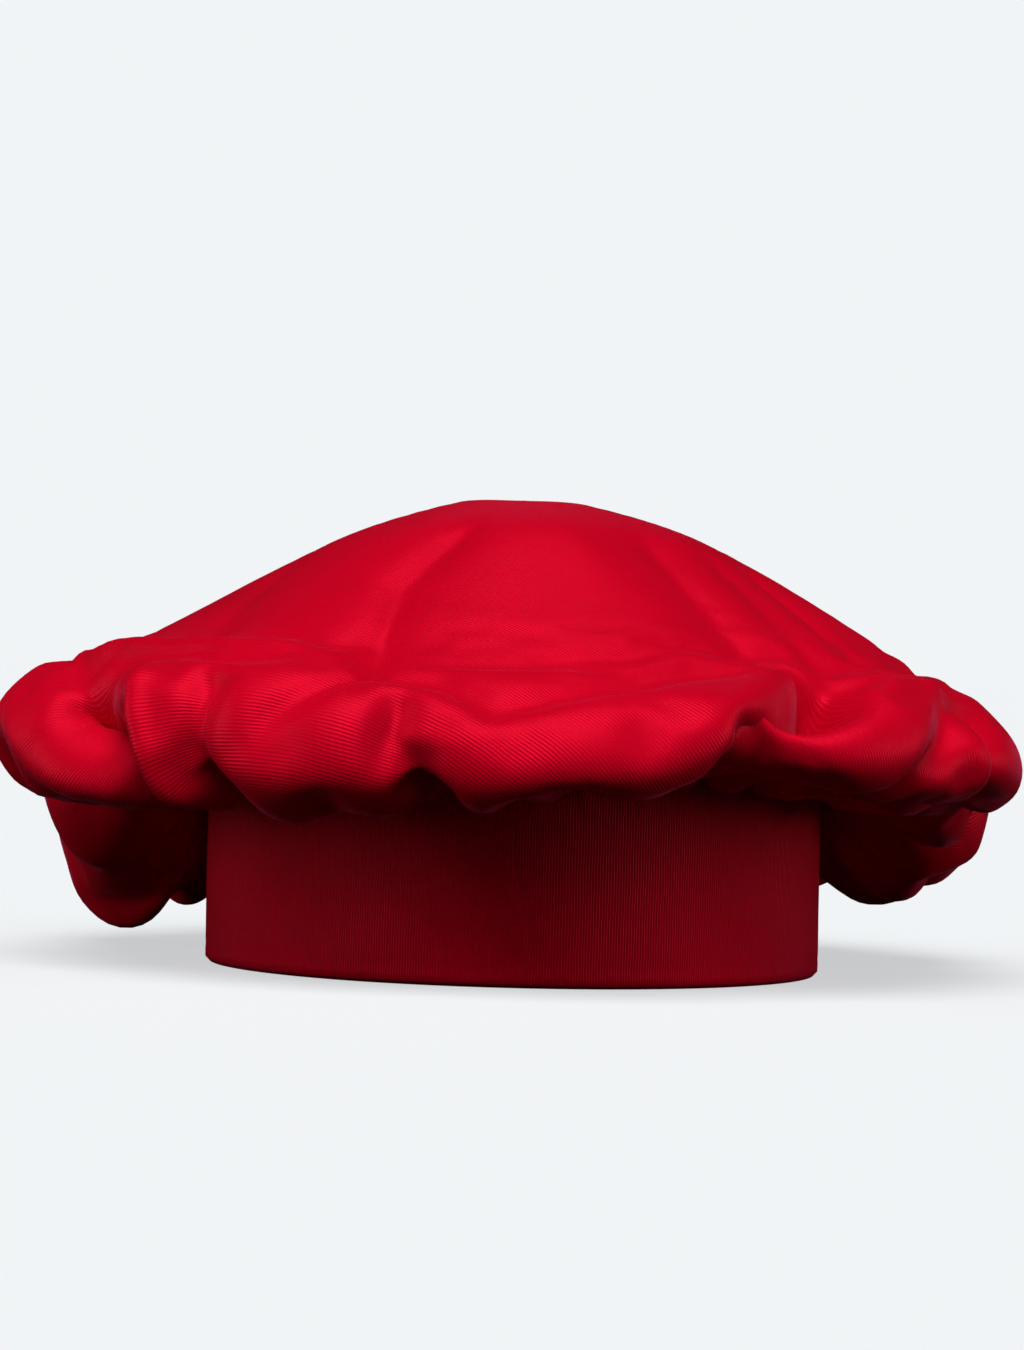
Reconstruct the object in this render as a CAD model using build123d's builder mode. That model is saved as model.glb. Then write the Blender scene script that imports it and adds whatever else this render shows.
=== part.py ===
"""A soft chef toque: a big satin crown gathered into a stiff, ribbed satin head band.

Millimetres. The origin is the centre of the head opening on the band's bottom edge, +Z is up and -Y is
the front. The crown is a shell of cloth that rises from inside the band's top edge, rolls over it, hangs
below it all round and closes over the head.
"""

import math
import os

from build123d import *

# Driving dimensions
HEAD_CIRCUMFERENCE = 578.0
BAND_HEIGHT = 62.0
CLOTH = 0.5
BUCKRAM = 1.2
LAYER_GAP = 0.3
CROWN_CLOTH = 0.6
CROWN_TOP = 146.5
CROWN_REACH = 156.0

# The band, from the head outwards
HEAD_RADIUS = HEAD_CIRCUMFERENCE / (2 * math.pi)
SWEATBAND_CLOTH = 0.6
SWEATBAND_BOTTOM = 1.5
SWEATBAND_TOP = 33.0
FACING_INSIDE = HEAD_RADIUS + SWEATBAND_CLOTH + 0.2
FACING_OUTSIDE = FACING_INSIDE + CLOTH
STIFFENER_INSIDE = FACING_OUTSIDE + LAYER_GAP
STIFFENER_OUTSIDE = STIFFENER_INSIDE + BUCKRAM
COVER_INSIDE = STIFFENER_OUTSIDE + LAYER_GAP
COVER_OUTSIDE = COVER_INSIDE + CLOTH
FOLD_RADIUS = 0.45
BUTT_GAP = 1.0
BACK_SEAM_WIDTH = 0.5
BACK_SEAM_DEPTH = 0.25

# The gathered edges held between the two legs of the band
SEAM_ALLOWANCE = 5.0
LINING_CLOTH = 0.4
LINING_EDGE_INSIDE = FACING_OUTSIDE + LAYER_GAP
CROWN_EDGE_OUTSIDE = COVER_INSIDE - LAYER_GAP
STIFFENER_TOP = BAND_HEIGHT - SEAM_ALLOWANCE - 1.0

# Stitches
THREAD_RADIUS = 0.15
STITCH_LENGTH = 2.6
STITCH_CLEARANCE = 0.02
CROWN_STITCHES = 140
SWEATBAND_STITCHES = 132
BACK_SEAM_STITCHES = 12

# Labels inside the back of the band
LABEL_CLOTH = 0.25
SIZE_LABEL_WIDTH = 38.0
SIZE_LABEL_HEIGHT = 14.0
SIZE_LABEL_BOTTOM = 38.0
CARE_LABEL_WIDTH = 22.0
CARE_LABEL_HEIGHT = 19.0
CARE_LABEL_SETBACK = 1.1
CARE_LABEL_TOP = BAND_HEIGHT - 4.0
CARE_LABEL_ANGLE = 150.0


def ring(inside, outside, bottom, top):
    """A plain upright loop of cloth between two radii."""
    with BuildPart() as loop:
        with BuildSketch(Plane.XY.offset(bottom)):
            Circle(outside)
            Circle(inside, mode=Mode.SUBTRACT)
        extrude(amount=top - bottom)
    return loop.part


def stitch_row(radius, angles, heights, upright=False):
    """Short runs of thread that lie on a cylinder of that radius, along it or up it, at those angles."""
    turned = (0, 0, 0) if upright else (90, 0, 0)
    with BuildPart() as row:
        for height in heights:
            with Locations([Location((0, 0, height), (0, 0, angle)) * Location((radius, 0, 0)) for angle in angles]):
                Cylinder(THREAD_RADIUS, STITCH_LENGTH, rotation=turned)
        fillet(row.edges().filter_by(GeomType.CIRCLE), THREAD_RADIUS * 0.9)
    return row.part


def all_round(count):
    """Evenly spaced angles, half a step clear of the back seam."""
    return [360 * (i + 0.5) / count for i in range(count)]


# Band cover: one strip of satin folded under the band, with a leg outside and a leg inside
with BuildPart() as band_cover:
    with BuildSketch(Plane.XZ) as band_section:
        with BuildLine():
            Polyline(
                (FACING_INSIDE, 0),
                (COVER_OUTSIDE, 0),
                (COVER_OUTSIDE, BAND_HEIGHT),
                (COVER_INSIDE, BAND_HEIGHT),
                (COVER_INSIDE, CLOTH),
                (FACING_OUTSIDE, CLOTH),
                (FACING_OUTSIDE, BAND_HEIGHT),
                (FACING_INSIDE, BAND_HEIGHT),
                close=True,
            )
        make_face()
        fillet(band_section.vertices().group_by(Axis.Y)[0], FOLD_RADIUS)
    revolve(axis=Axis.Z)
    with Locations((0, COVER_OUTSIDE, BAND_HEIGHT / 2)):
        Box(BACK_SEAM_WIDTH, 2 * BACK_SEAM_DEPTH, BAND_HEIGHT, mode=Mode.SUBTRACT)

# Band stiffener: a strip of buckram rolled into a loop, its ends butted at the back
with BuildPart() as band_stiffener:
    add(ring(STIFFENER_INSIDE, STIFFENER_OUTSIDE, CLOTH + 0.2, STIFFENER_TOP))
    with Locations((0, STIFFENER_OUTSIDE, BAND_HEIGHT / 2)):
        Box(BUTT_GAP, 6 * BUCKRAM, BAND_HEIGHT, mode=Mode.SUBTRACT)

# Sweatband: a loop of grosgrain ribbon against the head
with BuildPart() as sweatband:
    add(ring(HEAD_RADIUS, HEAD_RADIUS + SWEATBAND_CLOTH, SWEATBAND_BOTTOM, SWEATBAND_TOP))
    with Locations((0, HEAD_RADIUS, BAND_HEIGHT / 2)):
        Box(BUTT_GAP, 6 * SWEATBAND_CLOTH, BAND_HEIGHT, mode=Mode.SUBTRACT)

# Crown cover: the cloth rises from the seam inside the band, rolls over the band's top edge, hangs down round
# the overhang, turns out to the rim and climbs to the middle of the top
CROWN_NECK = COVER_OUTSIDE + 1.6
ROLL_HEIGHT = BAND_HEIGHT + 1.4
CROWN_STEPS = 24
with BuildPart() as crown_cover:
    with BuildSketch(Plane.XZ):
        with BuildLine():
            edge_low = BAND_HEIGHT - SEAM_ALLOWANCE
            edge_inside = CROWN_EDGE_OUTSIDE - CROWN_CLOTH
            Line((CROWN_EDGE_OUTSIDE, edge_low), (CROWN_EDGE_OUTSIDE, ROLL_HEIGHT))
            TangentArc((CROWN_EDGE_OUTSIDE, ROLL_HEIGHT), (CROWN_NECK, ROLL_HEIGHT), tangent=(0, 1))
            outer = Spline(
                (CROWN_NECK, ROLL_HEIGHT),
                (CROWN_NECK + 1.5, ROLL_HEIGHT - 7.0),
                (CROWN_NECK + 9.0, 43.0),
                (CROWN_NECK + 29.0, 33.0),
                (CROWN_REACH - 10.0, 45.0),
                (CROWN_REACH, 70.0),
                (CROWN_REACH - 18.0, 94.0),
                (CROWN_REACH - 56.0, 118.0),
                (CROWN_REACH - 96.0, 137.0),
                (CROWN_REACH - 134.0, CROWN_TOP - 1.2),
                (0, CROWN_TOP),
            )
            steps = [i / CROWN_STEPS for i in range(CROWN_STEPS + 1)]
            inside = [outer @ t + (outer % t).rotate(Axis.Z, 90) * CROWN_CLOTH for t in steps]
            inside[-1] = (0, CROWN_TOP - CROWN_CLOTH)
            Spline(*inside)
            TangentArc((edge_inside, ROLL_HEIGHT), inside[0], tangent=(0, 1))
            Line((edge_inside, edge_low), (edge_inside, ROLL_HEIGHT))
            Line((edge_inside, edge_low), (CROWN_EDGE_OUTSIDE, edge_low))
            Line(outer @ 1, inside[-1])
        make_face()
    revolve(axis=Axis.Z)

# Crown lining: a plain dome of thin cloth over the head, its edge in the same seam as the crown's
LINING_TOP = 140.0
with BuildPart() as crown_lining:
    with BuildSketch(Plane.XZ):
        with BuildLine():
            edge_outside = LINING_EDGE_INSIDE + LINING_CLOTH
            lining_straight = ROLL_HEIGHT + 4.0
            outer = Spline(
                (edge_outside, lining_straight),
                (97.5, 82.0),
                (98.0, 97.0),
                (92.0, 111.0),
                (72.0, 125.0),
                (46.0, 134.0),
                (20.0, 139.0),
                (0, LINING_TOP),
            )
            inside = [outer @ t + (outer % t).rotate(Axis.Z, 90) * LINING_CLOTH for t in steps]
            inside[-1] = (0, LINING_TOP - LINING_CLOTH)
            Spline(*inside)
            Line((edge_outside, edge_low), (edge_outside, lining_straight))
            Line((edge_outside, edge_low), (LINING_EDGE_INSIDE, edge_low))
            Line((LINING_EDGE_INSIDE, edge_low), inside[0])
            Line(outer @ 1, inside[-1])
        make_face()
    revolve(axis=Axis.Z)

# Stitches: the seam that holds the crown and the lining in the band, seen on both sides of the band, the
# sweatband's row and the back seam
outer_thread = COVER_OUTSIDE + THREAD_RADIUS + STITCH_CLEARANCE
inner_thread = HEAD_RADIUS - THREAD_RADIUS - STITCH_CLEARANCE
facing_thread = FACING_INSIDE - THREAD_RADIUS - STITCH_CLEARANCE
with BuildPart() as crown_seam_stitches:
    add(stitch_row(outer_thread, all_round(CROWN_STITCHES), [BAND_HEIGHT - 2.5]))
with BuildPart() as sweatband_stitches:
    add(stitch_row(inner_thread, all_round(SWEATBAND_STITCHES), [SWEATBAND_BOTTOM + 1.6]))
with BuildPart() as lining_seam_stitches:
    add(stitch_row(facing_thread, all_round(CROWN_STITCHES), [BAND_HEIGHT - 2.5]))
with BuildPart() as back_seam_stitches:
    pitch = (BAND_HEIGHT - 10.0) / BACK_SEAM_STITCHES
    # These lie in the groove of the back seam
    seam_radius = COVER_OUTSIDE - BACK_SEAM_DEPTH + THREAD_RADIUS + STITCH_CLEARANCE
    heights = [4.0 + pitch * i for i in range(BACK_SEAM_STITCHES)]
    add(stitch_row(seam_radius, [90.0], heights, upright=True))


def label(angle, width, bottom, top, outside):
    """A curved piece of label tape that lies against the inside of the band."""
    sweep = math.degrees(width / outside)
    with BuildPart() as tape:
        with BuildSketch(Plane.XZ):
            with Locations((outside - LABEL_CLOTH / 2, (bottom + top) / 2)):
                Rectangle(LABEL_CLOTH, top - bottom)
        revolve(axis=Axis.Z, revolution_arc=sweep)
    start = angle - sweep / 2
    return tape.part.rotate(Axis.Z, start)


LABEL_OUTSIDE = FACING_INSIDE - 0.05
with BuildPart() as size_label:
    add(label(90.0, SIZE_LABEL_WIDTH, SIZE_LABEL_BOTTOM, SIZE_LABEL_BOTTOM + SIZE_LABEL_HEIGHT, LABEL_OUTSIDE))
with BuildPart() as size_label_stitches:
    half_turn = math.degrees((SIZE_LABEL_WIDTH / 2 - 1.5) / LABEL_OUTSIDE)
    tape_radius = LABEL_OUTSIDE - LABEL_CLOTH - THREAD_RADIUS - STITCH_CLEARANCE
    rows = [SIZE_LABEL_BOTTOM + 2.5 + 3.2 * i for i in range(4)]
    add(stitch_row(tape_radius, [90.0 - half_turn, 90.0 + half_turn], rows, upright=True))

# Care label: a flap of satin tape sewn in by its top edge only, so it can be lifted and read
with BuildPart() as care_label:
    middle = Plane(
        origin=(FACING_INSIDE - CARE_LABEL_SETBACK, 0, CARE_LABEL_TOP - CARE_LABEL_HEIGHT / 2),
        x_dir=(0, 1, 0),
        z_dir=(1, 0, 0),
    )
    with BuildSketch(middle):
        RectangleRounded(CARE_LABEL_WIDTH, CARE_LABEL_HEIGHT, 0.8)
    extrude(amount=LABEL_CLOTH)
care_label_part = care_label.part.rotate(Axis.Z, CARE_LABEL_ANGLE)

pieces = {
    "band_cover": band_cover.part,
    "band_stiffener": band_stiffener.part,
    "sweatband": sweatband.part,
    "crown_cover": crown_cover.part,
    "crown_lining": crown_lining.part,
    "crown_seam_stitches": crown_seam_stitches.part,
    "lining_seam_stitches": lining_seam_stitches.part,
    "sweatband_stitches": sweatband_stitches.part,
    "back_seam_stitches": back_seam_stitches.part,
    "size_label": size_label.part,
    "size_label_stitches": size_label_stitches.part,
    "care_label": care_label_part,
}
os.makedirs("parts", exist_ok=True)
for name, part in pieces.items():
    part.label = name
    export_step(part, f"parts/{name}.step")
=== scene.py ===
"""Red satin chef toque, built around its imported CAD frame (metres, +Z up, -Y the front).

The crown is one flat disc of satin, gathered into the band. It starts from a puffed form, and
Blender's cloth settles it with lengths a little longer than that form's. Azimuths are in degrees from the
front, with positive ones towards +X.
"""

import math

import bpy
import numpy as np
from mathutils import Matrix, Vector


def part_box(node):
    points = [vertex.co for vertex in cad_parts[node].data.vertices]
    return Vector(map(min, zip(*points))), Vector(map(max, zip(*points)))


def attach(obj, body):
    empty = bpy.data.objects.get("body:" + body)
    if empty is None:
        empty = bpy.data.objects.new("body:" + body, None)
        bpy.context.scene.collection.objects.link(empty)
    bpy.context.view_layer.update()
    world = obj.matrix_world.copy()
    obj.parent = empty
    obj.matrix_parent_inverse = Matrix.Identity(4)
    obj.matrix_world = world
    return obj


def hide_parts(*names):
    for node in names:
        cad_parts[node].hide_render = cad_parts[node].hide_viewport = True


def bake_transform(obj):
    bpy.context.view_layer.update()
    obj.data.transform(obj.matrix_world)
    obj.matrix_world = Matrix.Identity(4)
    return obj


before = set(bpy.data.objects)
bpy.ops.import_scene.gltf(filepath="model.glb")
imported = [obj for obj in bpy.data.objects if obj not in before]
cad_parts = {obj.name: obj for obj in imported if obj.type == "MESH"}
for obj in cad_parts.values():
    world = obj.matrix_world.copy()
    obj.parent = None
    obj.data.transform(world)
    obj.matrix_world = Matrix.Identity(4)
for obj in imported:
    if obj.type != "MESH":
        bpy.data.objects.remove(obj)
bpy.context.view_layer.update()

BAND_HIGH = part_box("band_cover")[1]
CROWN_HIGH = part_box("crown_cover")[1]
BAND_RADIUS = BAND_HIGH.x
BAND_TOP = BAND_HIGH.z
CROWN_TOP = CROWN_HIGH.z

# ---------------------------------------------------------------- crown: the flat disc and its puffed shape

ROUND_STEPS = 240
RADIAL_STEPS = 68
SEAM_RADIUS = BAND_RADIUS - 0.0011
SEAM_DEPTH = 0.004
# How much longer than its shape the cloth is, over the dome and at the lower roll
DOME_EXCESS = 1.006
EXCESS = 1.07
CLOTH_GAP = 0.0015

# Meridians of the puffed shape at a few azimuths: (azimuth, [(radius, height) from the shoulder to the neck])
MERIDIANS = [
    (-180, [
        (0.060, 0.135), (0.105, 0.117), (0.140, 0.092), (0.158, 0.062),
        (0.154, 0.032), (0.132, 0.017), (0.112, 0.031), (0.100, 0.052),
    ]),
    (-140, [
        (0.060, 0.135), (0.105, 0.116), (0.141, 0.093), (0.159, 0.061),
        (0.151, 0.028), (0.133, 0.012), (0.113, 0.026), (0.100, 0.050),
    ]),
    (-113, [
        (0.060, 0.132), (0.104, 0.111), (0.139, 0.089), (0.155, 0.063),
        (0.151, 0.035), (0.137, 0.015), (0.114, 0.026), (0.100, 0.050),
    ]),
    (-88, [
        (0.060, 0.130), (0.102, 0.107), (0.136, 0.090), (0.154, 0.076),
        (0.153, 0.058), (0.139, 0.050), (0.117, 0.053), (0.101, 0.060),
    ]),
    (-60, [
        (0.060, 0.132), (0.101, 0.110), (0.132, 0.095), (0.153, 0.081),
        (0.153, 0.062), (0.137, 0.053), (0.115, 0.055), (0.101, 0.060),
    ]),
    (-30, [
        (0.060, 0.134), (0.100, 0.113), (0.126, 0.097), (0.148, 0.083),
        (0.151, 0.064), (0.135, 0.053), (0.114, 0.056), (0.101, 0.061),
    ]),
    (-10, [
        (0.060, 0.135), (0.099, 0.112), (0.122, 0.095), (0.145, 0.081),
        (0.150, 0.065), (0.136, 0.056), (0.114, 0.058), (0.101, 0.061),
    ]),
    (12, [
        (0.060, 0.135), (0.099, 0.111), (0.122, 0.094), (0.146, 0.082),
        (0.151, 0.068), (0.137, 0.060), (0.115, 0.060), (0.101, 0.062),
    ]),
    (28, [
        (0.060, 0.134), (0.101, 0.110), (0.126, 0.095), (0.147, 0.086),
        (0.150, 0.075), (0.135, 0.069), (0.114, 0.065), (0.101, 0.063),
    ]),
    (48, [
        (0.060, 0.133), (0.103, 0.110), (0.132, 0.093), (0.153, 0.081),
        (0.155, 0.066), (0.138, 0.058), (0.115, 0.059), (0.101, 0.062),
    ]),
    (75, [
        (0.060, 0.132), (0.103, 0.107), (0.135, 0.088), (0.153, 0.071),
        (0.151, 0.058), (0.138, 0.050), (0.115, 0.054), (0.101, 0.060),
    ]),
    (94, [
        (0.060, 0.132), (0.104, 0.108), (0.136, 0.086), (0.153, 0.068),
        (0.149, 0.052), (0.139, 0.043), (0.116, 0.048), (0.101, 0.058),
    ]),
    (113, [
        (0.060, 0.133), (0.105, 0.111), (0.140, 0.087), (0.155, 0.061),
        (0.153, 0.036), (0.139, 0.021), (0.116, 0.032), (0.100, 0.052),
    ]),
    (145, [
        (0.060, 0.134), (0.105, 0.115), (0.141, 0.091), (0.156, 0.063),
        (0.149, 0.040), (0.131, 0.029), (0.113, 0.037), (0.100, 0.054),
    ]),
]
TOP_SHIFT = -0.020

# Folds, as lines over the flat disc: (depth in, half-width, lip that lifts the line's left side and lowers
# its right, sideways lean, [(azimuth, share of the way to the seam)]). A negative depth is a ridge.
FOLDS = [
    # soft creases over the dome
    (0.0035, 0.007, 0.001, 0, [(-14, 0.22), (-22, 0.38), (-20, 0.51), (-18.5, 0.60)]),
    (0.0045, 0.009, -0.002, 0,
     [(-30, 0.70), (-26, 0.665), (-22, 0.62), (-18, 0.60), (-9, 0.615), (-3, 0.66)]),
    (0.0055, 0.010, -0.002, 0, [(-5, 0.67), (4, 0.64), (13, 0.61), (21, 0.595), (31, 0.575)]),
    (0.0045, 0.012, 0, 0, [(42, 0.22), (37, 0.36), (36, 0.47), (35, 0.56)]),
    (0.0040, 0.010, 0.001, 0, [(84, 0.28), (70, 0.40), (60, 0.54)]),
    (0.0030, 0.010, 0, 0, [(62, 0.26), (50, 0.42), (46, 0.56)]),
    (0.0035, 0.012, 0, 0, [(-80, 0.30), (-58, 0.44), (-48, 0.54)]),
    # the front left: a deep hollow between a rolled ridge and a pointed fold
    (-0.0030, 0.008, 0.003, 0, [(-70, 0.585), (-60, 0.56), (-50, 0.555), (-40, 0.565), (-29, 0.56)]),
    (0.0330, 0.0105, 0.004, 0, [(-63, 0.625), (-58.5, 0.66), (-54, 0.705), (-49.5, 0.75), (-46.5, 0.80)]),
    (-0.0065, 0.006, 0, 0, [(-78, 0.60), (-73, 0.67), (-65, 0.725), (-56, 0.76), (-47, 0.78)]),
    (-0.0070, 0.005, 0, 0, [(-48, 0.61), (-45, 0.68), (-42, 0.73), (-39.5, 0.785)]),
    (0.0070, 0.006, 0, 0, [(-37, 0.61), (-37.5, 0.68), (-38, 0.74)]),
    (0.0290, 0.0065, 0.003, 0, [(-36, 0.735), (-34.5, 0.87)]),
    (0.0050, 0.007, 0, 0, [(-13, 0.64), (-15.5, 0.73)]),
    (0.0290, 0.0065, 0.003, 0, [(-10.5, 0.735), (-8.5, 0.87)]),
    # the front right: a deep hollow with swags running away from it
    (0.0330, 0.0100, -0.004, 0.008, [(42.5, 0.58), (39.5, 0.61), (35, 0.65), (30, 0.695), (25, 0.745)]),
    (0.0090, 0.008, 0.006, 0,
     [(30, 0.84), (36, 0.835), (41, 0.81), (45, 0.765), (49, 0.72), (55, 0.665), (62, 0.61)]),
    (0.0090, 0.007, 0.005, 0, [(38, 0.87), (44, 0.85), (50, 0.825), (58, 0.79), (66, 0.755), (76, 0.735)]),
    (-0.0050, 0.006, 0, 0, [(61, 0.58), (58.5, 0.66), (61, 0.73)]),
    (0.0080, 0.009, 0, 0, [(68, 0.60), (66, 0.70), (69, 0.80)]),
    (0.0090, 0.008, 0.005, 0, [(66, 0.79), (80, 0.775), (92, 0.74), (100, 0.69)]),
    # the sides and the back
    (0.0110, 0.009, 0, 0, [(86, 0.56), (84, 0.76)]),
    (0.0200, 0.010, 0, 0, [(100, 0.54), (98, 0.84)]),
    (-0.0050, 0.008, 0, 0, [(114, 0.60), (116, 0.76)]),
    (0.0090, 0.008, 0.004, 0, [(104, 0.76), (114, 0.74), (122, 0.68)]),
    (0.0170, 0.009, 0.002, 0, [(125, 0.58), (128, 0.84)]),
    (0.0200, 0.010, 0.002, 0, [(147, 0.50), (143, 0.84)]),
    (0.0028, 0.014, 0, 0, [(140, 0.22), (134, 0.40), (137, 0.62)]),
    (0.0170, 0.009, -0.002, 0, [(164, 0.56), (167, 0.84)]),
    (0.0200, 0.010, 0.002, 0, [(-176, 0.50), (-173, 0.84)]),
    (0.0026, 0.014, 0, 0, [(-158, 0.24), (-168, 0.42), (-164, 0.62)]),
    (0.0170, 0.009, 0.002, 0, [(-153, 0.58), (-156, 0.84)]),
    (0.0200, 0.010, -0.002, 0, [(-135, 0.52), (-131, 0.84)]),
    (0.0026, 0.014, 0, 0, [(-112, 0.26), (-124, 0.42), (-126, 0.60)]),
    (0.0110, 0.010, 0, 0, [(-123, 0.60), (-122, 0.80)]),
    (0.0060, 0.009, 0, 0, [(-106, 0.62), (-105, 0.82)]),
    (-0.0085, 0.007, 0, 0, [(-115, 0.60), (-112, 0.80)]),
    (0.0240, 0.010, 0, 0, [(-99, 0.54), (-96, 0.84)]),
    (-0.0040, 0.008, 0, 0, [(-88, 0.58), (-87, 0.74)]),
    (0.0110, 0.008, 0, 0, [(-79, 0.58), (-77, 0.80)]),
]
FINE_PLEATS = 48
DEEP_FOLD = 0.012


def smooth(x):
    """0 to 1 with soft ends."""
    x = np.clip(x, 0.0, 1.0)
    return x * x * (3 - 2 * x)


def curve_through(points, shares):
    """Points along a Catmull-Rom curve through control points, at shares of its length."""
    points = np.array(points, float)
    padded = np.vstack([2 * points[0] - points[1], points, 2 * points[-1] - points[-2]])
    dense = []
    for a, b, c, d in zip(padded, padded[1:], padded[2:], padded[3:]):
        t = np.linspace(0, 1, 24, endpoint=False)[:, None]
        dense.append(
            0.5 * (2 * b + (c - a) * t + (2 * a - 5 * b + 4 * c - d) * t**2 + (3 * b - a - 3 * c + d) * t**3)
        )
    dense = np.vstack([*dense, points[-1:]])
    length = np.concatenate([[0], np.cumsum(np.linalg.norm(np.diff(dense, axis=0), axis=1))])
    want = np.asarray(shares) * length[-1]
    return np.stack([np.interp(want, length, dense[:, k]) for k in range(2)], axis=1), length[-1]


def around(keys, azimuth):
    """Smooth periodic blend of per-azimuth arrays."""
    at = np.array([k[0] for k in keys], float)
    values = np.array([k[1] for k in keys], float)
    order = np.argsort(at)
    at, values = at[order], values[order]
    at = np.concatenate([at, [at[0] + 360]])
    values = np.concatenate([values, values[:1]])
    a = (azimuth - at[0]) % 360 + at[0]
    i = int(np.searchsorted(at, a, side="right") - 1)
    t = (a - at[i]) / (at[i + 1] - at[i])
    t = t * t * (3 - 2 * t)
    return values[i] * (1 - t) + values[i + 1] * t


def from_line(points, line):
    """Signed distance from a polyline and the share of its length, for an array of flat points."""
    best = np.full(points.shape[:2], 1e9)
    side = np.zeros_like(best)
    along = np.zeros_like(best)
    line = np.array(line)
    steps = np.linalg.norm(np.diff(line, axis=0), axis=1)
    done = 0.0
    for p, q, step in zip(line, line[1:], steps):
        t = np.clip(((points - p) @ (q - p)) / step**2, 0, 1)
        gap = points - (p + t[..., None] * (q - p))
        away = np.linalg.norm(gap, axis=2)
        cross = (q - p)[0] * gap[..., 1] - (q - p)[1] * gap[..., 0]
        near = away < best
        best = np.where(near, away, best)
        side = np.where(near, np.sign(cross), side)
        along = np.where(near, (done + t * step) / steps.sum(), along)
        done += step
    return best, side, along


def crown_shape():
    """The puffed shape and the flat pattern, [azimuth step, radial step, xyz], and how firm the folds are."""
    shares = np.linspace(0, 1, RADIAL_STEPS + 1)
    turns = 2 * math.pi * np.arange(ROUND_STEPS) / ROUND_STEPS
    lines = np.zeros((ROUND_STEPS, RADIAL_STEPS + 1, 2))
    rho = np.zeros((ROUND_STEPS, RADIAL_STEPS + 1))
    for i, a in enumerate(turns):
        points = [(0.0, CROWN_TOP - 0.0015), (0.022, CROWN_TOP - 0.003), *around(MERIDIANS, math.degrees(a))]
        points += [(SEAM_RADIUS + 0.0032, BAND_TOP + 0.0006), (SEAM_RADIUS + 0.0008, BAND_TOP + 0.0022)]
        points += [(SEAM_RADIUS, BAND_TOP), (SEAM_RADIUS, BAND_TOP - SEAM_DEPTH)]
        lines[i], length = curve_through(points, shares)
        rho[i] = shares * length
    across = np.stack([np.sin(turns), -np.cos(turns)], axis=1)[:, None, :]
    flat = np.zeros((ROUND_STEPS, RADIAL_STEPS + 1, 3))
    flat[..., :2] = rho[..., None] * across
    tangent = np.gradient(lines, axis=1)
    tangent /= np.linalg.norm(tangent, axis=2)[..., None]
    offset = 0.004 * smooth((shares - 0.5) / 0.12) * smooth((0.93 - shares) / 0.1) * np.ones((ROUND_STEPS, 1))
    turn_by = np.zeros_like(offset)
    firm = np.zeros_like(offset)
    for depth, width, lip, lean, line in FOLDS:
        nearest = [int(round(a / 360 * ROUND_STEPS)) % ROUND_STEPS for a, _ in line]
        radius = np.array([np.interp(share, shares, rho[step]) for step, (_, share) in zip(nearest, line)])
        angle = np.radians([a for a, _ in line])
        knots = np.stack([radius * np.sin(angle), -radius * np.cos(angle)], axis=1)
        away, side, along = from_line(flat[..., :2], knots)
        ends = smooth((along + 0.08) / 0.25) * smooth((1.06 - along) / 0.22)
        spread = np.exp(-((away / width) ** 1.4))
        offset -= depth * ends * spread
        nearby = np.exp(-((away / (1.6 * width)) ** 2))
        firm = np.maximum(firm, min(1.0, abs(depth) / DEEP_FOLD) * ends * nearby)
        offset += lip * side * ends * spread * (1 - np.exp(-((away / (0.3 * width)) ** 2)))
        turn_by += lean * ends * np.exp(-(((away * side + 1.5 * width) / width) ** 2))
    # fine pleats where the cloth runs into the seam
    pleat = smooth((shares - 0.87) / 0.06) * smooth((0.985 - shares) / 0.03)
    wave = np.cos(FINE_PLEATS * turns + 1.4 * np.sin(5 * turns) + 0.9 * np.sin(13 * turns))[:, None]
    offset = offset + 0.0042 * pleat * wave
    lines[..., 0] += -tangent[..., 1] * offset
    lines[..., 1] += tangent[..., 0] * offset
    puffed = np.zeros_like(flat)
    puffed[..., :2] = lines[..., :1] * across
    puffed[..., 0] += turn_by * np.cos(turns)[:, None]
    puffed[..., 1] += turn_by * np.sin(turns)[:, None] - TOP_SHIFT * (smooth(shares / 0.55) - 1)
    puffed[..., 2] = lines[..., 1]
    return puffed, flat, firm


def disc_mesh(name, first, flat):
    """A mesh of the disc at its first shape, with its flat pattern in metres as its UV map."""
    rounds, radial = first.shape[0], first.shape[1]
    verts = [first[:, 0].mean(axis=0)]
    flats = [flat[:, 0].mean(axis=0)]
    for j in range(1, radial):
        verts.extend(first[:, j])
        flats.extend(flat[:, j])
    faces = []
    for i in range(rounds):
        k = (i + 1) % rounds
        faces.append((0, 1 + i, 1 + k))
        for j in range(radial - 2):
            low, high = 1 + j * rounds, 1 + (j + 1) * rounds
            faces.append((low + i, high + i, high + k, low + k))
    mesh = bpy.data.meshes.new(name)
    mesh.from_pydata([tuple(v) for v in verts], [], faces)
    uv = mesh.uv_layers.new(name="flat")
    corners = np.zeros(len(mesh.loops), np.int32)
    mesh.loops.foreach_get("vertex_index", corners)
    flats = np.array(flats)
    uv.data.foreach_set("uv", flats[corners][:, :2].astype(np.float32).ravel())
    obj = bpy.data.objects.new(name, mesh)
    bpy.context.scene.collection.objects.link(obj)
    mesh.polygons.foreach_set("use_smooth", [True] * len(mesh.polygons))
    return obj


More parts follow.
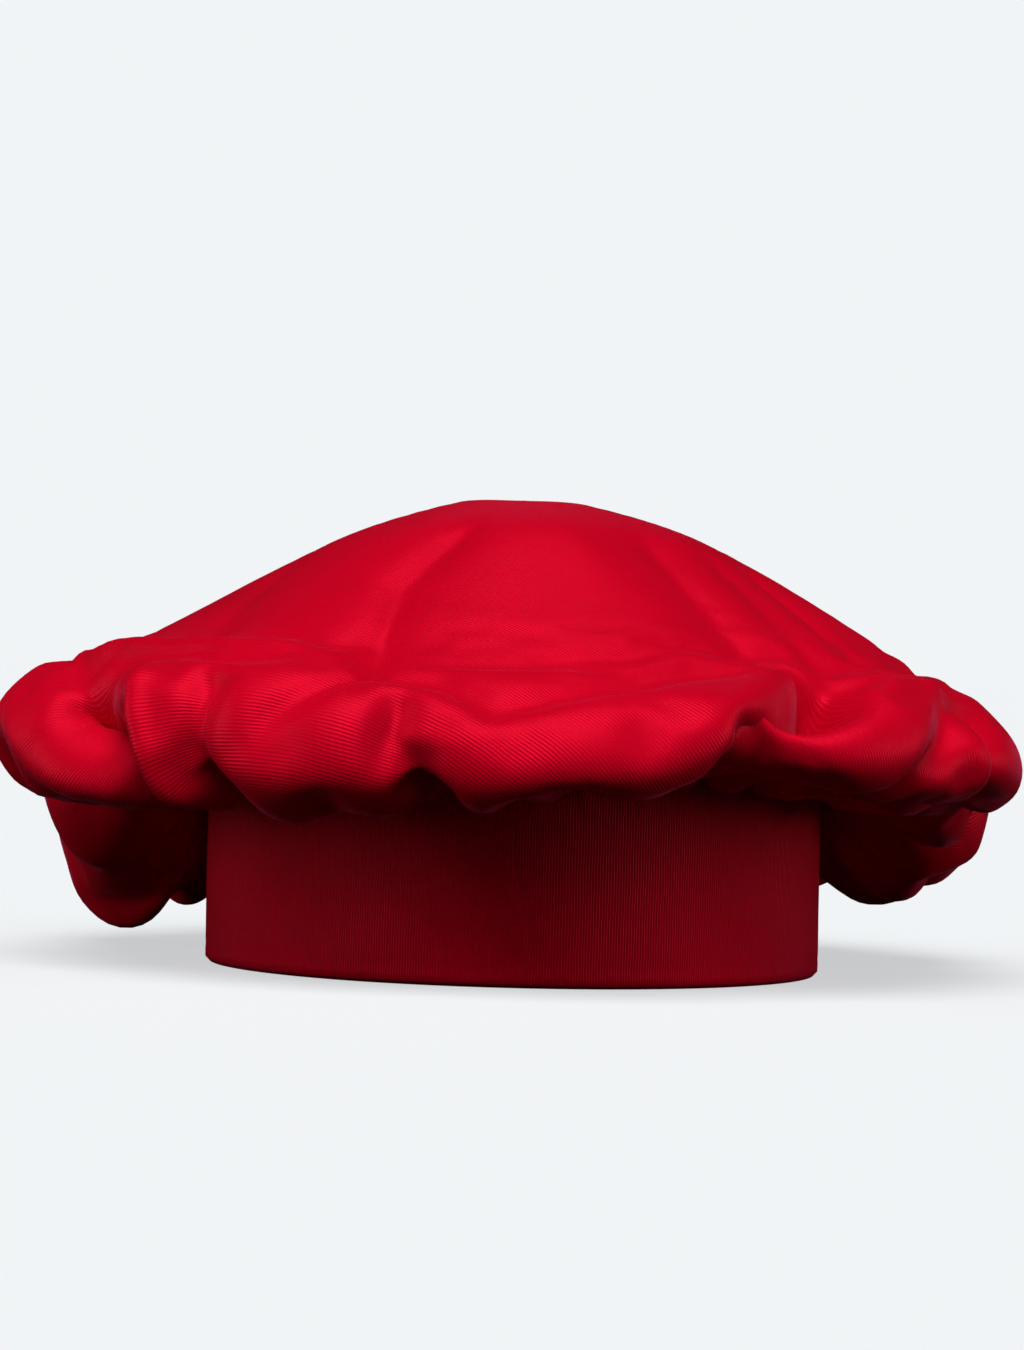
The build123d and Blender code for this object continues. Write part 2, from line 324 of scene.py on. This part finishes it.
def revolved(name, profile, steps=64):
    """A surface of revolution about +Z through (radius, height) points."""
    turn = [2 * math.pi * i / steps for i in range(steps)]
    verts = [(r * math.cos(a), r * math.sin(a), z) for r, z in profile for a in turn]
    faces = []
    for j in range(len(profile) - 1):
        for i in range(steps):
            k = (i + 1) % steps
            faces.append((j * steps + i, j * steps + k, (j + 1) * steps + k, (j + 1) * steps + i))
    mesh = bpy.data.meshes.new(name)
    mesh.from_pydata(verts, [], faces)
    obj = bpy.data.objects.new(name, mesh)
    bpy.context.scene.collection.objects.link(obj)
    return obj


# Satin for the simulation: mass in kg per vertex, stiffnesses, how firmly the goals hold, and frames
CLOTH = {
    "quality": 6,
    "mass": 0.15,
    "tension": 30,
    "compression": 30,
    "shear": 10,
    "bending": 3.0,
    "pin": 2.5,
    "gravity": 0.05,
    "gathered": 12,
    "frames": 30,
}


def settle(cloth_piece, weights, excess):
    """Lets the cloth settle. Its lengths are a little more than the puffed shape's, so it buckles."""
    scene = bpy.context.scene
    helpers = [
        revolved(
            "band_form",
            [(BAND_RADIUS, 0.0), (BAND_RADIUS, BAND_TOP), (BAND_RADIUS - 0.004, BAND_TOP + 0.001)],
        ),
        revolved(
            "head_form",
            [(0.088, 0.070), (0.090, 0.090), (0.082, 0.112)]
            + [(0.060, 0.127), (0.030, 0.1375), (0.0001, 0.1400)],
        ),
    ]
    for helper in helpers:
        helper.modifiers.new("collision", "COLLISION")
        helper.collision.thickness_outer = 0.001
        helper.collision.cloth_friction = 3.0
    group = cloth_piece.vertex_groups.new(name="held")
    for index, weight in enumerate(weights):
        group.add([index], float(weight), "REPLACE")
    # it starts a little too large, which sets every length, and its goals move in to the puffed shape
    puffed = np.array([v.co for v in cloth_piece.data.vertices])
    centre = np.array([0, 0, BAND_TOP])
    large = centre + (puffed - centre) * np.asarray(excess)[:, None]
    cloth_piece.data.vertices.foreach_set("co", large.astype(np.float32).ravel())
    cloth_piece.shape_key_add(name="Basis")
    key = cloth_piece.shape_key_add(name="puffed")
    key.data.foreach_set("co", puffed.astype(np.float32).ravel())
    key.value = 0.0
    key.keyframe_insert("value", frame=1)
    key.value = 1.0
    key.keyframe_insert("value", frame=CLOTH["gathered"])
    cloth = cloth_piece.modifiers.new("cloth", "CLOTH")
    values = cloth.settings
    values.quality = CLOTH["quality"]
    values.mass = CLOTH["mass"]
    values.tension_stiffness = CLOTH["tension"]
    values.compression_stiffness = CLOTH["compression"]
    values.shear_stiffness = CLOTH["shear"]
    values.bending_stiffness = CLOTH["bending"]
    values.tension_damping = 5
    values.compression_damping = 5
    values.shear_damping = 5
    values.bending_damping = 1
    values.air_damping = 2
    values.vertex_group_mass = "held"
    values.pin_stiffness = CLOTH["pin"]
    values.effector_weights.gravity = CLOTH["gravity"]
    cloth.collision_settings.use_collision = True
    cloth.collision_settings.distance_min = CLOTH_GAP
    cloth.point_cache.frame_start = 1
    cloth.point_cache.frame_end = CLOTH["frames"]
    scene.frame_start, scene.frame_end = 1, CLOTH["frames"]
    for step in range(1, CLOTH["frames"] + 1):
        scene.frame_set(step)
    depsgraph = bpy.context.evaluated_depsgraph_get()
    settled = bpy.data.meshes.new_from_object(cloth_piece.evaluated_get(depsgraph))
    cloth_piece.modifiers.clear()
    cloth_piece.shape_key_clear()
    cloth_piece.data = settled
    for helper in helpers:
        bpy.data.objects.remove(helper)
    scene.frame_set(1)


def refined(piece, levels=1):
    """Adds subdivision to a finished mesh and keeps the result."""
    piece.modifiers.new("smooth", "SUBSURF").levels = levels
    depsgraph = bpy.context.evaluated_depsgraph_get()
    mesh = bpy.data.meshes.new_from_object(piece.evaluated_get(depsgraph))
    piece.modifiers.clear()
    piece.data = mesh
    mesh.polygons.foreach_set("use_smooth", [True] * len(mesh.polygons))


def make_crown():
    """The crown's settled mesh and its flat pattern."""
    puffed, flat, firm = crown_shape()
    piece = disc_mesh("crown_satin", puffed, flat)
    radial = np.concatenate([[0], np.repeat(np.arange(1, RADIAL_STEPS + 1), ROUND_STEPS)]) / RADIAL_STEPS
    weights = np.where((radial > 0.975) | (radial < 0.06), 1.0, 0.5 - 0.30 * smooth((radial - 0.30) / 0.25))
    weights = np.maximum(weights, 0.9 * np.concatenate([[0], firm[:, 1:].T.ravel()]))
    settle(piece, weights, DOME_EXCESS + (EXCESS - DOME_EXCESS) * smooth((radial - 0.50) / 0.35))
    refined(piece)
    return piece, flat


# ---------------------------------------------------------------- the other cloth pieces

def grid_piece(name, points, flats, closed):
    """A sheet through a grid of points, [along, across, xyz], with its flat pattern in metres as a UV map."""
    along, across = points.shape[:2]
    faces = []
    for i in range(along if closed else along - 1):
        k = (i + 1) % along
        for j in range(across - 1):
            faces.append((i * across + j, k * across + j, k * across + j + 1, i * across + j + 1))
    mesh = bpy.data.meshes.new(name)
    mesh.from_pydata([tuple(p) for p in points.reshape(-1, 3)], [], faces)
    corners = []
    for i in range(along if closed else along - 1):
        for j in range(across - 1):
            corners += [flats[i, j], flats[i + 1, j], flats[i + 1, j + 1], flats[i, j + 1]]
    uv = mesh.uv_layers.new(name="flat")
    uv.data.foreach_set("uv", np.array(corners, np.float32).ravel())
    mesh.polygons.foreach_set("use_smooth", [True] * len(mesh.polygons))
    piece = bpy.data.objects.new(name, mesh)
    bpy.context.scene.collection.objects.link(piece)
    return piece


def loop_sheet(name, profile, steps, shape, across_steps):
    """A closed loop of cloth: a (radius, height) profile turned about +Z, pushed out by shape()."""
    line, length = curve_through(profile, np.linspace(0, 1, across_steps + 1))
    tangent = np.gradient(line, axis=0)
    tangent /= np.linalg.norm(tangent, axis=1)[:, None]
    turns = 2 * math.pi * np.arange(steps) / steps
    shares = np.linspace(0, 1, across_steps + 1)
    push = shape(turns[:, None], shares[None, :], line[None, :, 1])
    radius = line[None, :, 0] - tangent[None, :, 1] * push
    height = line[None, :, 1] + tangent[None, :, 0] * push
    points = np.stack([radius * np.sin(turns)[:, None], -radius * np.cos(turns)[:, None], height], axis=2)
    around_length = 2 * math.pi * line[:, 0].max()
    u = np.linspace(0, around_length, steps + 1)[:, None] * np.ones((1, across_steps + 1))
    v = (shares * length)[None, :] * np.ones((steps + 1, 1))
    return grid_piece(name, points, np.stack([u, v], axis=2), True), (around_length, length)


def uneven(turns, waves):
    """A wavy number around the hat: waves is (count, size, phase)."""
    return sum(size * np.sin(count * turns + phase) for count, size, phase in waves)


def make_band():
    """The band's satin: down the inside, under the hem and up the outside."""
    inner = BAND_RADIUS - 0.0028
    outer = BAND_RADIUS
    profile = [(inner, BAND_TOP - 0.0004), (inner, 0.040), (inner, 0.020), (inner, 0.004)]
    profile += [(inner + 0.0001, 0.0012), (inner + 0.0008, 0.0002), (outer - 0.0008, 0.0002)]
    profile += [(outer - 0.0001, 0.0012), (outer, 0.004), (outer, 0.020), (outer, 0.040)]
    profile += [(outer, BAND_TOP - 0.0002)]

    def shape(turns, shares, heights):
        outside = smooth((shares - 0.53) / 0.04)
        hem = 0.00035 * smooth((0.0050 - heights) / 0.0006) * smooth((heights - 0.0006) / 0.0012)
        groove = 0.00025 * np.exp(-(((heights - 0.0052) / 0.0006) ** 2))
        slack = uneven(turns, [(3, 0.00028, 0.4), (7, 0.00016, 2.0), (11, 0.00010, 4.4)])
        slack = slack * smooth((heights - 0.004) / 0.02) * smooth((0.062 - heights) / 0.02)
        pucker = 0.00014 * smooth((heights - 0.052) / 0.006)
        pucker = pucker * uneven(turns, [(96, 1.0, 0.0), (61, 0.6, 1.1)])
        away = (turns - math.pi) * BAND_RADIUS
        seam = 0.00040 * np.exp(-((away / 0.0008) ** 2))
        return -outside * (hem - groove + slack + pucker - seam)

    return loop_sheet("band_satin", profile, 480, shape, 64)


def make_sweatband():
    """The sweatband's ribbon: corded across, with turned edges and its ends butted at the back."""
    low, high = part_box("sweatband")
    inside = high.x - 0.0006
    edge = inside + 0.00045
    profile = [(edge + 0.0001, high.z - 0.0003), (inside + 0.0002, high.z - 0.00002)]
    profile += [(inside, high.z - 0.0008), (inside, 0.024), (inside, 0.012), (inside, low.z + 0.0010)]
    profile += [(inside + 0.0002, low.z + 0.00002), (edge + 0.0001, low.z + 0.0003)]

    def shape(turns, shares, heights):
        rib = 0.00006 * np.cos(480 * turns)
        edge_dots = smooth((np.abs(shares - 0.5) - 0.44) / 0.04) * 0.00010 * np.cos(240 * turns)
        butt = -0.00025 * np.exp(-((((turns - math.pi) * inside) / 0.0009) ** 2))
        return rib + edge_dots + butt

    return loop_sheet("sweatband_ribbon", profile, 960, shape, 20)


def make_lining():
    """The lining: from the seam up and over the head, gathered at the seam."""
    seam = BAND_RADIUS - 0.0018
    profile = [(seam, BAND_TOP - 0.0045), (seam, BAND_TOP), (seam - 0.0002, BAND_TOP + 0.0035)]
    profile += [(0.0945, 0.0745), (0.0935, 0.085), (0.0885, 0.098), (0.0770, 0.109), (0.0600, 0.1175)]
    profile += [(0.0400, 0.1235), (0.0200, 0.1265), (0.0004, 0.1275)]

    def shape(turns, shares, heights):
        gathers = smooth((shares - 0.05) / 0.10) * (1 - smooth((shares - 0.16) / 0.60))
        folds = uneven(turns, [(46, 0.0011, 0.3), (31, 0.0009, 1.9), (17, 0.0010, 4.0)])
        drifting = uneven(turns + 0.9 * shares, [(9, 0.0016, 0.5), (5, 0.0014, 2.2)])
        return gathers * folds + smooth((shares - 0.15) / 0.3) * smooth((1 - shares) / 0.35) * drifting

    return loop_sheet("crown_lining_cloth", profile, 480, shape, 72)


def make_size_label():
    """A short tape laid on the sweatband, with its ends lifting a little."""
    low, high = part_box("size_label")
    half = (high.x - low.x) / 2 / high.y
    turns = np.linspace(-1, 1, 41)
    rise = np.linspace(0, 1, 17)
    t, r = np.meshgrid(turns, rise, indexing="ij")
    lifted = 0.0005 * smooth((np.abs(t) - 0.90) / 0.1) + 0.00008 * np.sin(9 * t + 4 * r)
    radius = high.y - 0.0002 - lifted
    angle = t * half * 1.002
    points = np.stack([radius * np.sin(angle), radius * np.cos(angle), low.z + r * (high.z - low.z)], axis=2)
    flats = np.stack([(t + 1) * half * high.y, r * (high.z - low.z)], axis=2)
    return grid_piece("size_label_tape", points, flats, False), (2 * half * high.y, high.z - low.z)


CARE_LABEL_TURN = math.radians(150)
CARE_LABEL_WIDTH = 0.022
CARE_LABEL_RADIUS = 0.0918


def make_care_label():
    """A limp satin flap, sewn in along its top edge and curling a little towards the head."""
    low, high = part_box("care_label")
    height = high.z - low.z
    across = np.linspace(-1, 1, 33)
    down = np.linspace(0, 1, 29)
    a, d = np.meshgrid(across, down, indexing="ij")
    # rounded lower corners
    corner = 0.05
    lower = np.clip((d - 1 + corner) / corner, 0, 1)
    half = CARE_LABEL_WIDTH / 2 * (1 - corner * (1 - np.sqrt(np.clip(1 - lower**2, 0, 1))))
    curl = 0.0011 * d**2 + 0.00035 * np.sin(5.5 * d + 1.2 * a) * smooth(d / 0.3) + 0.0005 * a**2 * d
    outward = CARE_LABEL_RADIUS - curl
    ux, uy = math.cos(CARE_LABEL_TURN), math.sin(CARE_LABEL_TURN)
    side = a * half
    points = np.stack([ux * outward - uy * side, uy * outward + ux * side, high.z - d * height], axis=2)
    flats = np.stack([side + 0.012, (1 - d) * height], axis=2)
    return grid_piece("care_label_tape", points, flats, False), (CARE_LABEL_WIDTH, height)


# ---------------------------------------------------------------- materials

def shader_of(name):
    """A new node material with its tree and Principled shader."""
    material = bpy.data.materials.new(name)
    material.use_nodes = True
    tree = material.node_tree
    return material, tree, tree.nodes["Principled BSDF"]


def math_node(tree, operation, a, b=None):
    """A Math node, with each input a socket or a number."""
    node = tree.nodes.new("ShaderNodeMath")
    node.operation = operation
    for index, value in enumerate((a, b)):
        if value is None:
            continue
        if isinstance(value, (int, float)):
            node.inputs[index].default_value = value
        else:
            tree.links.new(value, node.inputs[index])
    return node.outputs[0]


def noise(tree, vector, scale, detail=3.0, roughness=0.55):
    """A noise texture's value."""
    node = tree.nodes.new("ShaderNodeTexNoise")
    node.inputs["Scale"].default_value = scale
    node.inputs["Detail"].default_value = detail
    node.inputs["Roughness"].default_value = roughness
    tree.links.new(vector, node.inputs["Vector"])
    return node.outputs["Fac"]


def shades(tree, value, stops):
    """A colour ramp through (position, colour) stops."""
    ramp = tree.nodes.new("ShaderNodeValToRGB")
    elements = ramp.color_ramp.elements
    while len(elements) < len(stops):
        elements.new(0.5)
    for element, (position, colour) in zip(elements, stops):
        element.position = position
        element.color = (*colour, 1)
    tree.links.new(value, ramp.inputs[0])
    return ramp.outputs[0]


def bumped(tree, shader, heights):
    """Bump nodes in a chain: (height socket, distance in metres, strength)."""
    normal = None
    for height, distance, strength in heights:
        bump = tree.nodes.new("ShaderNodeBump")
        bump.inputs["Distance"].default_value = distance
        bump.inputs["Strength"].default_value = strength
        tree.links.new(height, bump.inputs["Height"])
        if normal is not None:
            tree.links.new(normal, bump.inputs["Normal"])
        normal = bump.outputs[0]
    tree.links.new(normal, shader.inputs["Normal"])


def ribbed_satin(name, base, rib_pitch, rib_angle, rib_depth, roughness):
    """Satin with fine ribs along one direction of its own flat cloth, from a UV map in metres."""
    material, tree, shader = shader_of(name)
    uv = tree.nodes.new("ShaderNodeUVMap")
    uv.uv_map = "flat"
    split = tree.nodes.new("ShaderNodeSeparateXYZ")
    tree.links.new(uv.outputs[0], split.inputs[0])
    across = math_node(
        tree,
        "ADD",
        math_node(tree, "MULTIPLY", split.outputs[0], math.cos(rib_angle)),
        math_node(tree, "MULTIPLY", split.outputs[1], math.sin(rib_angle)),
    )
    wander = math_node(tree, "MULTIPLY", noise(tree, uv.outputs[0], 90.0), rib_pitch * 0.8)
    phase = math_node(tree, "MULTIPLY", math_node(tree, "ADD", across, wander), 2 * math.pi / rib_pitch)
    rib = math_node(tree, "MULTIPLY_ADD", math_node(tree, "SINE", phase), 0.5)
    rib.node.inputs[2].default_value = 0.5
    slub = noise(tree, uv.outputs[0], 2600.0, 2.0)
    cloud = noise(tree, uv.outputs[0], 14.0, 4.0)
    tone = math_node(tree, "ADD", math_node(tree, "MULTIPLY", rib, 0.35), slub)
    tone = math_node(tree, "MULTIPLY", tone, 0.55)
    tone = math_node(tree, "ADD", tone, math_node(tree, "MULTIPLY", cloud, 0.5))
    dark = tuple(c * 0.80 for c in base)
    light = tuple(min(1.0, c * 1.16) for c in base)
    tree.links.new(shades(tree, tone, [(0.35, dark), (0.6, base), (0.9, light)]), shader.inputs["Base Color"])
    gloss = math_node(tree, "MULTIPLY_ADD", cloud, 0.10)
    gloss.node.inputs[2].default_value = roughness - 0.05
    tree.links.new(gloss, shader.inputs["Roughness"])
    shader.inputs["Metallic"].default_value = 0.15
    shader.inputs["Specular IOR Level"].default_value = 0.10
    shader.inputs["Specular Tint"].default_value = (1.0, 0.12, 0.30, 1)
    shader.inputs["Sheen Weight"].default_value = 0.30
    shader.inputs["Sheen Roughness"].default_value = 0.22
    shader.inputs["Sheen Tint"].default_value = (1.0, 0.14, 0.34, 1)
    bumped(tree, shader, [(rib, rib_depth, 0.6), (slub, rib_depth * 0.5, 0.35)])
    return material


def woven(name, base, pitch, roughness, depth, contrast=0.2, sheen=0.15):
    """Plain weave: threads over and under, from a UV map in metres."""
    material, tree, shader = shader_of(name)
    uv = tree.nodes.new("ShaderNodeUVMap")
    uv.uv_map = "flat"
    split = tree.nodes.new("ShaderNodeSeparateXYZ")
    tree.links.new(uv.outputs[0], split.inputs[0])
    turn = 2 * math.pi / pitch
    warp = math_node(tree, "SINE", math_node(tree, "MULTIPLY", split.outputs[0], turn))
    weft = math_node(tree, "SINE", math_node(tree, "MULTIPLY", split.outputs[1], turn))
    cells = math_node(tree, "MULTIPLY_ADD", math_node(tree, "MULTIPLY", warp, weft), 0.5)
    cells.node.inputs[2].default_value = 0.5
    thread = noise(tree, uv.outputs[0], 1800.0, 2.0)
    cloud = noise(tree, uv.outputs[0], 22.0, 4.0)
    tone = math_node(tree, "MULTIPLY", cells, 0.3)
    tone = math_node(tree, "ADD", tone, math_node(tree, "MULTIPLY", thread, 0.3))
    tone = math_node(tree, "ADD", tone, math_node(tree, "MULTIPLY", cloud, 0.5))
    dark = tuple(c * (1 - contrast) for c in base)
    light = tuple(min(1.0, c * (1 + contrast)) for c in base)
    colour = shades(tree, tone, [(0.3, dark), (0.55, base), (0.85, light)])
    tree.links.new(colour, shader.inputs["Base Color"])
    gloss = math_node(tree, "MULTIPLY_ADD", thread, 0.12)
    gloss.node.inputs[2].default_value = roughness - 0.06
    tree.links.new(gloss, shader.inputs["Roughness"])
    shader.inputs["Specular IOR Level"].default_value = 0.25
    shader.inputs["Sheen Weight"].default_value = sheen
    shader.inputs["Sheen Roughness"].default_value = 0.45
    shader.inputs["Sheen Tint"].default_value = (*tuple(min(1.0, c * 2 + 0.05) for c in base), 1)
    bumped(tree, shader, [(cells, depth, 0.6), (thread, depth * 0.5, 0.4)])
    return material


def twisted_thread(name, base):
    """Sewing thread: fine twist lines and a little fuzz, from the object's own position."""
    material, tree, shader = shader_of(name)
    where = tree.nodes.new("ShaderNodeTexCoord")
    split = tree.nodes.new("ShaderNodeSeparateXYZ")
    tree.links.new(where.outputs["Object"], split.inputs[0])
    slant = math_node(tree, "ADD", split.outputs[2], math_node(tree, "MULTIPLY", split.outputs[0], 0.8))
    slant = math_node(tree, "ADD", slant, math_node(tree, "MULTIPLY", split.outputs[1], 0.8))
    wave = math_node(tree, "SINE", math_node(tree, "MULTIPLY", slant, 16000.0))
    twist = math_node(tree, "MULTIPLY_ADD", wave, 0.5)
    twist.node.inputs[2].default_value = 0.5
    fuzz = noise(tree, where.outputs["Object"], 3000.0, 3.0)
    tone = math_node(tree, "MULTIPLY", twist, 0.5)
    tone = math_node(tree, "ADD", tone, math_node(tree, "MULTIPLY", fuzz, 0.5))
    dark = tuple(c * 0.6 for c in base)
    light = tuple(min(1.0, c * 1.3 + 0.01) for c in base)
    tree.links.new(shades(tree, tone, [(0.25, dark), (0.5, base), (0.8, light)]), shader.inputs["Base Color"])
    rough = math_node(tree, "ADD", math_node(tree, "MULTIPLY", fuzz, 0.15), 0.42)
    tree.links.new(rough, shader.inputs["Roughness"])
    shader.inputs["Specular IOR Level"].default_value = 0.3
    shader.inputs["Sheen Weight"].default_value = 0.2
    shader.inputs["Sheen Tint"].default_value = (*light, 1)
    bumped(tree, shader, [(twist, 0.00005, 0.7), (fuzz, 0.00003, 0.4)])
    return material


def buckram(name):
    """Sized cotton buckram: an open square weave stiffened with glue."""
    material, tree, shader = shader_of(name)
    where = tree.nodes.new("ShaderNodeTexCoord")
    cells = tree.nodes.new("ShaderNodeTexVoronoi")
    cells.inputs["Scale"].default_value = 900.0
    tree.links.new(where.outputs["Object"], cells.inputs["Vector"])
    mottled = noise(tree, where.outputs["Object"], 60.0, 5.0)
    tone = math_node(tree, "ADD", math_node(tree, "MULTIPLY", cells.outputs["Distance"], 0.5), mottled)
    cream = [(0.4, (0.50, 0.44, 0.34)), (0.6, (0.66, 0.60, 0.49)), (0.9, (0.78, 0.73, 0.62))]
    tree.links.new(shades(tree, tone, cream), shader.inputs["Base Color"])
    rough = math_node(tree, "ADD", math_node(tree, "MULTIPLY", mottled, 0.2), 0.6)
    tree.links.new(rough, shader.inputs["Roughness"])
    bumped(tree, shader, [(cells.outputs["Distance"], 0.0002, 0.6)])
    return material


def paper(name, colour, glow):
    """The studio floor: matt paper, brightened towards the camera and dull to the light it returns."""
    material, tree, shader = shader_of(name)
    # under the lamps below, this share of the colour adds up with the glow to the colour itself
    lit = 0.92 * (1 - glow)
    shader.inputs["Base Color"].default_value = (*tuple(lit * c for c in colour), 1)
    shader.inputs["Roughness"].default_value = 0.9
    shader.inputs["Emission Color"].default_value = (*colour, 1)
    shader.inputs["Emission Strength"].default_value = glow
    dull = tree.nodes.new("ShaderNodeBsdfDiffuse")
    dull.inputs["Color"].default_value = (0.025, 0.025, 0.025, 1)
    ray = tree.nodes.new("ShaderNodeLightPath")
    choose = tree.nodes.new("ShaderNodeMixShader")
    tree.links.new(ray.outputs["Is Camera Ray"], choose.inputs[0])
    tree.links.new(dull.outputs[0], choose.inputs[1])
    tree.links.new(shader.outputs[0], choose.inputs[2])
    tree.links.new(choose.outputs[0], tree.nodes["Material Output"].inputs[0])
    return material


# ---------------------------------------------------------------- pieces

def finish_piece(piece, node, material):
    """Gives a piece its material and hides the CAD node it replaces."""
    piece.data.materials.append(material)
    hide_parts(node)


SATIN_RED = (0.56, 0.0, 0.014)
LINING_RED = (0.27, 0.0, 0.010)
RIBBON_RED = (0.20, 0.0, 0.008)
TAPE = (0.62, 0.59, 0.55)

crown, crown_flat = make_crown()
crown_look = ribbed_satin(
    "crown_satin", SATIN_RED, rib_pitch=0.0009, rib_angle=math.radians(62), rib_depth=0.00012, roughness=0.42
)
finish_piece(crown, "crown_cover", crown_look)
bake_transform(crown)

lining, lining_size = make_lining()
lining_look = woven("lining_cloth", LINING_RED, pitch=0.0005, roughness=0.42, depth=0.00006)
finish_piece(lining, "crown_lining", lining_look)
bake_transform(lining)

band, band_size = make_band()
band_look = ribbed_satin(
    "band_satin", SATIN_RED, rib_pitch=0.00085, rib_angle=0.0, rib_depth=0.00022, roughness=0.45
)
finish_piece(band, "band_cover", band_look)
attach(band, "band")

sweatband, sweatband_size = make_sweatband()
ribbon_look = ribbed_satin(
    "ribbon", RIBBON_RED, rib_pitch=0.0007, rib_angle=0.0, rib_depth=0.00012, roughness=0.5
)
finish_piece(sweatband, "sweatband", ribbon_look)
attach(sweatband, "band")

size_label, size_label_size = make_size_label()
size_tape = woven("size_tape", TAPE, pitch=0.0004, roughness=0.5, depth=0.00004, contrast=0.1)
finish_piece(size_label, "size_label", size_tape)
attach(size_label, "band")

care_label, care_label_size = make_care_label()
care_tape = woven("care_tape", TAPE, pitch=0.0003, roughness=0.4, depth=0.00003, contrast=0.08)
finish_piece(care_label, "care_label", care_tape)
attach(care_label, "care_label")

red_thread = twisted_thread("red_thread", (0.42, 0.0, 0.012))
pale_thread = twisted_thread("pale_thread", (0.55, 0.52, 0.48))
looks = {
    "band_stiffener": buckram("buckram"),
    "crown_seam_stitches": red_thread,
    "lining_seam_stitches": red_thread,
    "sweatband_stitches": red_thread,
    "back_seam_stitches": red_thread,
    "size_label_stitches": pale_thread,
}
for node, look in looks.items():
    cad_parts[node].data.materials.clear()
    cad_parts[node].data.materials.append(look)

# ---------------------------------------------------------------- stage, light and camera

PALE = (0.879, 0.905, 0.922)
PAPER_GLOW = 0.62
AMBIENT = 0.012
FLOOR = 12.0
floor_mesh = bpy.data.meshes.new("studio_floor")
corners = [(-FLOOR, -FLOOR, 0), (FLOOR, -FLOOR, 0), (FLOOR, FLOOR, 0), (-FLOOR, FLOOR, 0)]
floor_mesh.from_pydata(corners, [], [(0, 1, 2, 3)])
floor = bpy.data.objects.new("studio_floor", floor_mesh)
bpy.context.scene.collection.objects.link(floor)
floor_mesh.materials.append(paper("paper", PALE, PAPER_GLOW))

world = bpy.data.worlds.new("studio")
bpy.context.scene.world = world
world.use_nodes = True
tree = world.node_tree
seen = tree.nodes["Background"]
seen.inputs[0].default_value = (*PALE, 1)
around_light = tree.nodes.new("ShaderNodeBackground")
around_light.inputs[0].default_value = (1.0, 0.98, 0.97, 1)
around_light.inputs[1].default_value = AMBIENT
ray = tree.nodes.new("ShaderNodeLightPath")
choose = tree.nodes.new("ShaderNodeMixShader")
tree.links.new(ray.outputs["Is Camera Ray"], choose.inputs[0])
tree.links.new(around_light.outputs[0], choose.inputs[1])
tree.links.new(seen.outputs[0], choose.inputs[2])
tree.links.new(choose.outputs[0], tree.nodes["World Output"].inputs[0])
bpy.context.scene.view_settings.view_transform = "Standard"


def sun(name, strength, spread, tilt):
    """A soft sun: spread and tilt in degrees."""
    lamp = bpy.data.lights.new(name, "SUN")
    lamp.energy = strength
    lamp.angle = math.radians(spread)
    holder = bpy.data.objects.new(name, lamp)
    holder.rotation_euler = tuple(math.radians(t) for t in tilt)
    bpy.context.scene.collection.objects.link(holder)


sun("overhead", 2.8, 45, (26, -5, 0))
sun("front", 0.65, 40, (48, 4, 0))
sun("left", 0.95, 40, (6, -79, 0))
sun("right", 0.95, 40, (6, 79, 0))

# Camera: long lens, level with the hat's shoulder; its dip and roll are in degrees
CAMERA_DISTANCE = 1.5
CAMERA_DIP = 0.537
CAMERA_ROLL = -1.5
VIEW_HEIGHT = 0.4219
SENSOR = 36.0
camera_data = bpy.data.cameras.new("camera")
camera_data.sensor_width = SENSOR
camera_data.lens = SENSOR * CAMERA_DISTANCE / VIEW_HEIGHT
camera = bpy.data.objects.new("camera", camera_data)
camera.location = (-0.0025, -CAMERA_DISTANCE, 0.105)
camera.rotation_euler = (math.radians(90 - CAMERA_DIP), math.radians(CAMERA_ROLL), 0)
bpy.context.scene.collection.objects.link(camera)
bpy.context.scene.camera = camera
